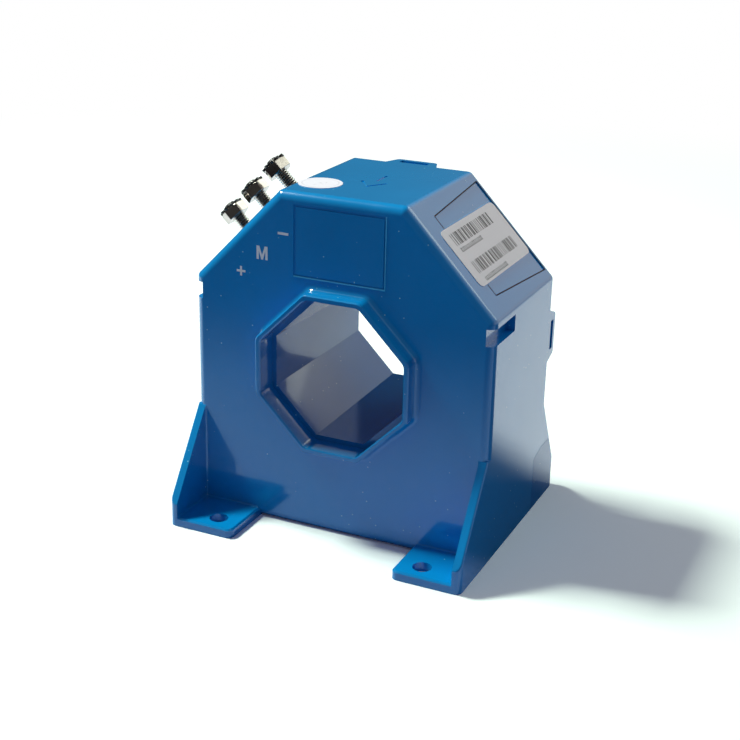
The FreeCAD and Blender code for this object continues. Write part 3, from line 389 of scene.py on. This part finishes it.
def capacitor_sleeve():
    """A dark shrunk sleeve with a pale stripe and a bare ribbed top."""
    shader = Shader("capacitor_sleeve", (0.02, 0.025, 0.05), 0.3)
    stripe = shader.between(shader.axis("Y"), 0.0249, 0.0252)
    bare = shader.between(shader.axis("Z"), 0.0855, 0.0857)
    sleeve = shader.blend(stripe, (0.02, 0.025, 0.05), (0.55, 0.57, 0.6))
    shader.set(Base_Color=shader.blend(bare, sleeve, (0.6, 0.61, 0.62)))
    shader.set(Metallic=bare)
    shader.set(Roughness=shader.between(shader.noise(700.0), 0.3, 0.7, 0.22, 0.4))
    shader.set(Normal=shader.bump(shader.noise(400.0), 0.2, 0.00006))
    return shader.material


def chip_resistor():
    """A black glazed chip with bright solder caps at both ends."""
    shader = Shader("chip_resistor", (0.02, 0.02, 0.022), 0.3)
    away = shader.maths("ABSOLUTE", shader.maths("SUBTRACT", shader.axis("Z"), 0.0649))
    cap = shader.between(away, 0.0023, 0.0024)
    shader.set(Base_Color=shader.blend(cap, (0.02, 0.02, 0.022), (0.7, 0.7, 0.7)))
    shader.set(Metallic=cap)
    shader.set(Roughness=shader.between(shader.noise(800.0), 0.3, 0.7, 0.2, 0.4))
    shader.set(Normal=shader.bump(shader.noise(600.0), 0.2, 0.00005))
    return shader.material


def sticker_paper():
    """White paper with a faint press mark near its rim."""
    white = (0.84, 0.84, 0.96)
    shader = Shader("sticker_paper", white, 0.45)
    from_centre = shader.vector_maths("DISTANCE", shader.coordinates, place(STICKER_CENTRE),
                                      "Value")
    away = shader.maths("ABSOLUTE", shader.maths("SUBTRACT", from_centre, 0.0052))
    ring = shader.between(away, 0.0, 0.00025, 0.35, 0.0)
    speck = shader.between(shader.noise(900.0, 2.0), 0.62, 0.7, 0.0, 0.5)
    near = shader.between(from_centre, 0.002, 0.0035, 1.0, 0.0)
    mark = shader.maths("MAXIMUM", ring, shader.maths("MULTIPLY", speck, near))
    shader.set(Base_Color=shader.blend(mark, white, (0.35, 0.38, 0.42)))
    shader.set(Normal=shader.bump(shader.noise(1500.0), 0.2, 0.00005))
    return shader.material


def paint(material, *names):
    """Give carried-over CAD nodes a material."""
    for name in names:
        mesh = NODES[name].data
        mesh.materials.clear()
        mesh.materials.append(material)


def numbered(stem):
    return [stem + "_%d" % number for number in (1, 2, 3)]


def sided(*stems):
    return [stem + side for stem in stems for side in ("_left", "_right")]


# Shapes

def new_piece(name, mesh, material):
    """Put a mesh in the scene as a piece of the object, riding on its one body."""
    mesh.materials.append(material)
    piece = bpy.data.objects.new(name, mesh)
    bpy.context.scene.collection.objects.link(piece)
    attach(piece, "root")
    return piece


def prisms(name, outlines, to_row, thickness):
    """Thin solids from flat outlines in millimetres, set into the row frame by a matrix."""
    mesh = bpy.data.meshes.new(name)
    shape = bmesh.new()
    for outline in outlines:
        lower = [shape.verts.new(to_row @ Vector((x, y, 0.0))) for x, y in outline]
        upper = [shape.verts.new(to_row @ Vector((x, y, thickness))) for x, y in outline]
        shape.faces.new(lower[::-1])
        shape.faces.new(upper)
        count = len(outline)
        for step in range(count):
            other = (step + 1) % count
            shape.faces.new((lower[step], lower[other], upper[other], upper[step]))
    bmesh.ops.recalc_face_normals(shape, faces=shape.faces)
    shape.to_mesh(mesh)
    shape.free()
    return mesh


def rectangle(left, low, right, high):
    return [(left, low), (right, low), (right, high), (left, high)]


def slope_matrix(down, depth, out, side):
    """Metres in the row frame from a place on a slope: x down it, y to the back, z out of it."""
    length = SLOPE.length
    across = HALF_TOP + (down * SLOPE.x + out * SLOPE.y) / length
    up = CASE_HEIGHT + (out * SLOPE.x - down * SLOPE.y) / length
    turn = math.atan2(SLOPE.y, SLOPE.x) * side
    position = Matrix.Translation(place((across * side, depth, up)))
    return position @ Matrix.Rotation(turn, 4, "Y") @ Matrix.Scale(MM, 4)


def thread_column(share):
    """Height and radius up the thread at one angle, clamped to its ends and bevelled tip."""
    points = []
    first = math.floor(THREAD_START / THREAD_PITCH) - 2
    last = math.ceil(THREAD_END / THREAD_PITCH) + 2
    for turn in range(first, last):
        for shift, radius in THREAD_PROFILE:
            height = (turn + shift + share) * THREAD_PITCH
            height = min(max(height, THREAD_START), THREAD_END)
            points.append((height, min(radius, TIP_RADIUS + (THREAD_END - height))))
    return points


def threaded_stud(number, down, material, groove):
    """A stud with a helical thread, with painted shade in its groove, and its flat head inside the
    case.

    The strip that closes the thread joins each point to one about two turns away, a fault. It is
    left as it is, so that the shapes stay those of the last checks.
    """
    shape = bmesh.new()
    columns = []
    for step in range(THREAD_STEPS):
        angle = 2.0 * math.pi * step / THREAD_STEPS
        columns.append([shape.verts.new((radius * math.cos(angle), radius * math.sin(angle),
                                         height))
                        for height, radius in thread_column(step / THREAD_STEPS)])
    for step in range(THREAD_STEPS):
        here = columns[step]
        after = columns[(step + 1) % THREAD_STEPS]
        skip = len(THREAD_PROFILE) if step == THREAD_STEPS - 1 else 0
        for level in range(len(here) - 1 - skip):
            shape.faces.new((here[level + skip], after[level], after[level + 1],
                             here[level + 1 + skip]))
    bmesh.ops.remove_doubles(shape, verts=shape.verts, dist=0.0005)
    bmesh.ops.dissolve_degenerate(shape, edges=shape.edges, dist=0.0005)
    for height in (THREAD_START, THREAD_END):
        rim = [edge for edge in shape.edges if edge.is_boundary
               and all(abs(vertex.co.z - height) < 0.001 for vertex in edge.verts)]
        bmesh.ops.contextual_create(shape, geom=rim)
    # Faces deep in the thread's groove take the second material, dark metal that is painted shade.
    for face in shape.faces:
        beside_axis = face.calc_center_median().xy.length
        if abs(face.normal.z) < 0.9 and beside_axis < 1.9:
            face.material_index = 1
    head_profile = [(0.0, -6.2), (3.2, -6.2), (3.5, -5.9), (3.5, -3.8), (CREST_RADIUS, -3.8),
                    (CREST_RADIUS, THREAD_START), (0.0, THREAD_START)]
    add_lathe(shape, head_profile, 40)
    bmesh.ops.recalc_face_normals(shape, faces=shape.faces)
    shape.transform(slope_matrix(down, STUD_DEPTH, 0.0, -1))
    mesh = bpy.data.meshes.new("threaded_stud_%d" % number)
    shape.to_mesh(mesh)
    shape.free()
    stud = new_piece("threaded_stud_%d" % number, mesh, material)
    mesh.materials.append(groove)
    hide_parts("terminal_stud_%d" % number)


def add_lathe(shape, profile, steps):
    """Turn a profile of radius and height about z, closing it at the axis."""
    rings = []
    for radius, height in profile:
        turns = [2 * math.pi * step / steps for step in range(steps if radius else 1)]
        rings.append([shape.verts.new((radius * math.cos(turn), radius * math.sin(turn), height))
                      for turn in turns])
    for lower, upper in zip(rings, rings[1:]):
        for step in range(steps):
            other = (step + 1) % steps
            corners = [lower[step % len(lower)], lower[other % len(lower)],
                       upper[other % len(upper)], upper[step % len(upper)]]
            shape.faces.new(list(dict.fromkeys(corners)))


def make_legends(material):
    """Plus, M and minus beside the terminals, printed on the front face."""
    def cross(x, z, arm, half):
        return [[(x - half, z - arm), (x + half, z - arm), (x + half, z - half),
                 (x + arm, z - half), (x + arm, z + half), (x + half, z + half),
                 (x + half, z + arm), (x - half, z + arm), (x - half, z + half),
                 (x - arm, z + half), (x - arm, z - half), (x - half, z - half)]]

    def letter(x, z, half, tall, bar):
        low, high = z - tall / 2, z + tall / 2
        return [[(x - half, low), (x - half, high), (x - half + bar * 1.25, high),
                 (x, low + tall * 0.34), (x + half - bar * 1.25, high), (x + half, high),
                 (x + half, low), (x + half - bar, low), (x + half - bar, low + tall * 0.66),
                 (x + bar * 0.42, low), (x - bar * 0.42, low),
                 (x - half + bar, low + tall * 0.66), (x - half + bar, low)]]

    outlines = (cross(-30.7, 75.9, 1.4, 0.32) + letter(-23.9, 82.1, 1.75, 3.9, 0.72)
                + [rectangle(-18.9, 88.15, -15.6, 88.85)])
    to_row = Matrix.Translation(place((0.0, 0.0, 0.0))) \
        @ Matrix.Rotation(math.pi / 2, 4, "X") @ Matrix.Scale(MM, 4)
    mesh = prisms("printed_legends", outlines, to_row, 0.025)
    new_piece("printed_legends", mesh, material)


def bar_code(start, end, low, high, pattern):
    """Upright bars of uneven width between two places along the label."""
    widths = [(1.0 + pattern[step % len(pattern)] % 3, pattern[step % len(pattern)] % 4 + 1.0)
              for step in range(27)]
    unit = (end - start) / sum(bar + gap for bar, gap in widths)
    bars = []
    spot = start
    for bar, gap in widths:
        bars.append(rectangle(low, spot, high, spot + bar * unit))
        spot += (bar + gap) * unit
    return bars


def small_print(start, end, low, high, pattern):
    """Short blocks that read as a line of small figures without spelling anything."""
    blocks = []
    spot = start
    step = 0
    while spot < end:
        wide = 0.42 + 0.12 * (pattern[step % len(pattern)] % 3)
        inset = 0.12 * (pattern[(step + 3) % len(pattern)] % 3)
        blocks.append(rectangle(low + inset, spot, high, spot + wide * 0.45))
        blocks.append(rectangle(high - 0.3, spot, high, spot + wide))
        if pattern[(step + 1) % len(pattern)] % 2:
            blocks.append(rectangle(low, spot + wide * 0.6, low + 0.35, spot + wide))
        spot += wide + 0.38
        step += 1
    return blocks


def make_painted_panel_shade(material):
    """Painted shade: dark strips along the step round the slope's sunk panel, where shade falls in
    the step.
    """
    def strip(start, end):
        aside = (end - start).orthogonal().normalized() * 0.19
        return [tuple(corner) for corner in (start - aside, end - aside,
                                             end + aside, start + aside)]

    left, right = SLOPE_MIDDLE - PANEL_FRONT_HALF, SLOPE_MIDDLE + PANEL_FRONT_HALF
    far_left, far_right = SLOPE_MIDDLE - PANEL_BACK_HALF, SLOPE_MIDDLE + PANEL_BACK_HALF
    label_left, label_right = 10.3, 29.2
    lines = [((left, PANEL_FRONT), (far_left, PANEL_BACK)),
             ((right, PANEL_FRONT), (far_right, PANEL_BACK)),
             ((left, PANEL_FRONT), (label_left, PANEL_FRONT)),
             ((label_right, PANEL_FRONT), (right, PANEL_FRONT)),
             ((far_left, PANEL_BACK), (far_right, PANEL_BACK))]
    outlines = [strip(Vector(start), Vector(end)) for start, end in lines]
    mesh = prisms("panel_painted_shade", outlines, slope_matrix(0.0, 0.0, 0.002, 1), 0.008)
    new_piece("panel_painted_shade", mesh, material)


def make_frame_bevels(material):
    """Sloped strips along the low and right grooves of the front's frame, which catch the light;
    their matte cyan colour is a painted highlight.
    """
    wide, sunk, proud = 0.45, 0.12, 0.1
    inner_low, inner_side = FRAME_LOW + wide, FRAME_HALF - wide
    corners = [(-FRAME_HALF, sunk, FRAME_LOW), (FRAME_HALF, sunk, FRAME_LOW),
               (FRAME_HALF, sunk, FRAME_HIGH), (inner_side, sunk, FRAME_HIGH),
               (inner_side, sunk, inner_low), (-FRAME_HALF, sunk, inner_low),
               (-FRAME_HALF, -proud, FRAME_LOW), (FRAME_HALF, -proud, FRAME_LOW),
               (FRAME_HALF, -proud, FRAME_HIGH)]
    faces = [(0, 1, 4, 5), (1, 2, 3, 4), (0, 6, 7, 1), (1, 7, 8, 2), (6, 5, 4, 7), (7, 4, 3, 8),
             (0, 5, 6), (2, 8, 3)]
    mesh = bpy.data.meshes.new("frame_bevels")
    mesh.from_pydata([place(corner) for corner in corners], [], faces)
    shape = bmesh.new()
    shape.from_mesh(mesh)
    bmesh.ops.recalc_face_normals(shape, faces=shape.faces)
    shape.to_mesh(mesh)
    shape.free()
    new_piece("frame_bevels", mesh, material)


def make_label_print(material):
    """Two generic bar codes, each with a line of plain blocks under it."""
    pattern = (3, 7, 1, 4, 2, 9, 5, 3, 8, 6, 1, 7, 4, 2, 5, 9, 3, 6)
    rows = []
    for shape_row, start, end, low, high, order in (
            (bar_code, 10.4, 38.8, 12.3, 16.1, pattern),
            (small_print, 11.0, 26.0, 17.0, 18.3, pattern[4:]),
            (bar_code, 10.9, 42.6, 21.7, 25.5, pattern[::-1]),
            (small_print, 12.0, 29.3, 27.0, 28.3, pattern[7:])):
        rows += shape_row(start - LABEL_FRONT, end - LABEL_FRONT, low - LABEL_MIDDLE,
                          high - LABEL_MIDDLE, order)
    fall = (PANEL_BACK_DEPTH - PANEL_FRONT_DEPTH) / (PANEL_BACK - PANEL_FRONT)
    lift = fall * (PANEL_FRONT - LABEL_FRONT)
    to_row = slope_matrix(LABEL_MIDDLE, LABEL_FRONT, lift, 1) \
        @ Matrix.Rotation(-math.atan(fall), 4, "X") @ Matrix.Translation((0.0, 0.0, 0.121))
    mesh = prisms("label_print", rows, to_row, 0.015)
    new_piece("label_print", mesh, material)


def dress_nodes():
    """Give every CAD node its material, and add the pieces that only the scene has."""
    blue = case_plastic("case_plastic", (0.001, 0.285, 0.7), 0.18, 1.0)
    deep_blue = case_plastic("cover_plastic", (0.002, 0.2, 0.54), 0.18, 0.6)
    nickel = bright_metal("nickel_plate", (0.62, 0.57, 0.53), 0.1)
    spring = bright_metal("spring_steel", (0.16, 0.16, 0.165), 0.28)
    ink = grained("black_ink", (0.02, 0.02, 0.024), 0.5)
    paint(blue, "housing")
    paint(deep_blue, "rear_cover")
    paint(nickel, *numbered("terminal_stud"), *numbered("terminal_nut"),
          *numbered("flat_washer"), "board_screws")
    paint(spring, *numbered("lock_washer"))
    paint(bright_metal("brass_strip", (0.66, 0.48, 0.2), 0.28, (1.0, 0.1, 1.0)),
          *numbered("contact_strap"))
    paint(layered("core_layers", (0.24, 0.24, 0.26), (0.06, 0.06, 0.07), 0.45, "Y", 0.00035,
                  0.8, 0.5), "magnetic_core")
    paint(layered("copper_winding", (0.55, 0.22, 0.08), (0.12, 0.04, 0.015), 0.3, "Z", 0.0004,
                  0.75, 0.9), *sided("secondary_coil"))
    paint(grained("natural_nylon", (0.66, 0.62, 0.5), 0.5), "gap_spacer", *sided("coil_former"))
    paint(board_laminate(), "circuit_board")
    paint(grained("black_epoxy", (0.022, 0.022, 0.024), 0.55, 2500.0), "hall_sensor",
          "amplifier_chip", *sided("power_transistor"))
    paint(capacitor_sleeve(), *sided("capacitor"))
    paint(chip_resistor(), *sided("resistor"))
    paint(grained("label_paper", (0.95, 0.97, 0.97), 0.38, grain=1400.0, depth=0.00004,
                  variation=0.02, coat=1.0), "barcode_label")
    paint(sticker_paper(), "round_sticker")
    threads = bright_metal("rolled_thread", (0.86, 0.84, 0.8), 0.2, soft=False)
    # The thread's groove gets dark metal as painted shade.
    grooves = bright_metal("thread_groove_shade", (0.09, 0.09, 0.095), 0.35, soft=False)
    for number, down in enumerate(STUD_DOWN, 1):
        threaded_stud(number, down, threads, grooves)
    make_legends(grained("pale_ink", (0.74, 0.97, 0.98), 0.45, variation=0.02))
    make_label_print(ink)
    # The frame strips' matte cyan colour is a painted highlight along the lit edges.
    make_frame_bevels(grained("painted_highlight_edge", (0.003, 0.3, 0.62), 0.6))
    # The dark strips round the slope's panel are painted shade.
    make_painted_panel_shade(grained("painted_shade", (0.008, 0.014, 0.04), 0.8))


make_camera()
make_world()
make_floor()
make_area_light("key", (-0.62, -0.03, 0.84), 0.2, 12.4, (0.95, 1.0, 0.86))
make_area_light("fill", (0.42, 0.62, 0.75), 0.6, 1.8, (0.9, 1.0, 0.85))
dress_nodes()
bpy.context.scene.view_settings.view_transform = "Standard"
